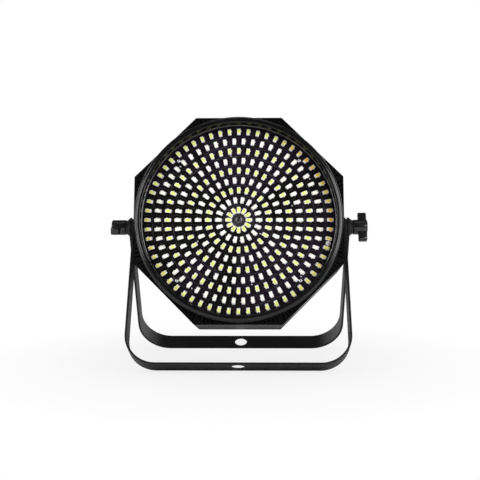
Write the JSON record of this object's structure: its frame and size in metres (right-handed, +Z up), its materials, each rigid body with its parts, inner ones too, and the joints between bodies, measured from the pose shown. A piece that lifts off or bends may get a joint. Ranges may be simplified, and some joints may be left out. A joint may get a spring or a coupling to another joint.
{
  "type": "led par can",
  "caption": "Octagonal LED par can with rings of surface-mounted lamps behind a clear lens, standing on two nested U brackets clamped by side knobs.",
  "frame": {"origin": "on the floor, under the middle of the standing light's bounding box", "axes": "+X to the light's right as seen from the front, along the pivot axis; +Y from the lamps to the back; +Z up"},
  "size_m": [0.2594, 0.1644, 0.2449],
  "materials": {
    "bezel_plastic": "satin black moulded rim",
    "black_plastic": "fine moulded texture",
    "clear_lens": "clear flat sheet",
    "rubber": "matt",
    "lamp_board": "aluminium core under glossy black solder mask, white lamp packages with yellow-green phosphor",
    "bright_steel": "bright plated",
    "sensor": "translucent pale window",
    "aluminium": "milled",
    "zinc_steel": "zinc plated",
    "circuit_board": "green solder mask",
    "display": "dark red window",
    "button_plastic": "satin black caps",
    "red_wire": "insulated wire",
    "black_wire": "insulated wire",
    "brass": "turned",
    "nylon": "matt",
    "powder_coat": "fine black powder coat on sheet steel"
  },
  "bodies": {
    "rear_bracket": {"rear_bracket": "powder_coat", "friction_washer_left": "nylon", "friction_washer_right": "nylon", "outer_washer_left": "zinc_steel", "outer_washer_right": "zinc_steel"},
    "front_bracket": {"front_bracket": "powder_coat"},
    "head": {"bezel_ring": "bezel_plastic", "front_cover": "black_plastic", "rear_housing": "black_plastic", "lens": "clear_lens", "lens_gasket": "rubber", "lamp_board": "lamp_board", "centre_washer": "rubber", "centre_screw": "bright_steel", "board_screw_1": "bright_steel", "board_screw_2": "bright_steel", "board_screw_3": "bright_steel", "board_screw_4": "bright_steel", "remote_sensor": "sensor", "heat_sink": "aluminium", "housing_screw_1": "zinc_steel", "housing_screw_2": "zinc_steel", "housing_screw_3": "zinc_steel", "housing_screw_4": "zinc_steel", "fan_frame": "black_plastic", "control_board": "circuit_board", "power_supply": "circuit_board", "driver_board": "circuit_board", "display": "display", "signal_in_socket": "black_plastic", "signal_out_socket": "black_plastic", "power_inlet": "black_plastic", "fuse_holder": "black_plastic", "lamp_cable": "red_wire", "mains_cable": "black_wire", "safety_eye": "zinc_steel", "pivot_insert_left": "brass", "pivot_insert_right": "brass", "inner_washer_left": "nylon", "inner_washer_right": "nylon"},
    "knob_left": {"knob_left": "black_plastic", "knob_screw_left": "zinc_steel"},
    "knob_right": {"knob_right": "black_plastic", "knob_screw_right": "zinc_steel"},
    "fan": {"fan_rotor": "black_plastic"},
    "fuse_cap": {"fuse_cap": "button_plastic"},
    "button_1": {"menu_button_1": "button_plastic"},
    "button_2": {"menu_button_2": "button_plastic"},
    "button_3": {"menu_button_3": "button_plastic"},
    "button_4": {"menu_button_4": "button_plastic"}
  },
  "joints": [
    {"name": "head_tilt", "type": "hinge", "parent": "rear_bracket", "child": "head", "pos_m": [0, -0.004, 0.13536], "axis": [1, 0, 0], "range_deg": [-78, 101]},
    {"name": "bracket_fold", "type": "hinge", "parent": "rear_bracket", "child": "front_bracket", "pos_m": [0, -0.004, 0.13536], "axis": [1, 0, 0], "range_deg": [-121, 58.8]},
    {"name": "knob_left_turn", "type": "hinge", "parent": "head", "child": "knob_left", "pos_m": [0, -0.004, 0.13536], "axis": [1, 0, 0], "continuous": true},
    {"name": "knob_right_turn", "type": "hinge", "parent": "head", "child": "knob_right", "pos_m": [0, -0.004, 0.13536], "axis": [1, 0, 0], "continuous": true},
    {"name": "fan_spin", "type": "hinge", "parent": "head", "child": "fan", "pos_m": [0, 0.04036, 0.15049], "axis": [0, -0.9803, 0.1977], "continuous": true},
    {"name": "fuse_cap_turn", "type": "hinge", "parent": "head", "child": "fuse_cap", "pos_m": [0.012, 0.0272, 0.06949], "axis": [0, 0.9803, -0.1977], "range_deg": [0, 90]},
    {"name": "button_1_press", "type": "slide", "parent": "head", "child": "button_1", "axis": [0, -0.9803, 0.1977], "range_m": [0, 0.001], "stiffness_N_per_m": 600},
    {"name": "button_2_press", "type": "slide", "parent": "head", "child": "button_2", "axis": [0, -0.9803, 0.1977], "range_m": [0, 0.001], "stiffness_N_per_m": 600},
    {"name": "button_3_press", "type": "slide", "parent": "head", "child": "button_3", "axis": [0, -0.9803, 0.1977], "range_m": [0, 0.001], "stiffness_N_per_m": 600},
    {"name": "button_4_press", "type": "slide", "parent": "head", "child": "button_4", "axis": [0, -0.9803, 0.1977], "range_m": [0, 0.001], "stiffness_N_per_m": 600}
  ]
}
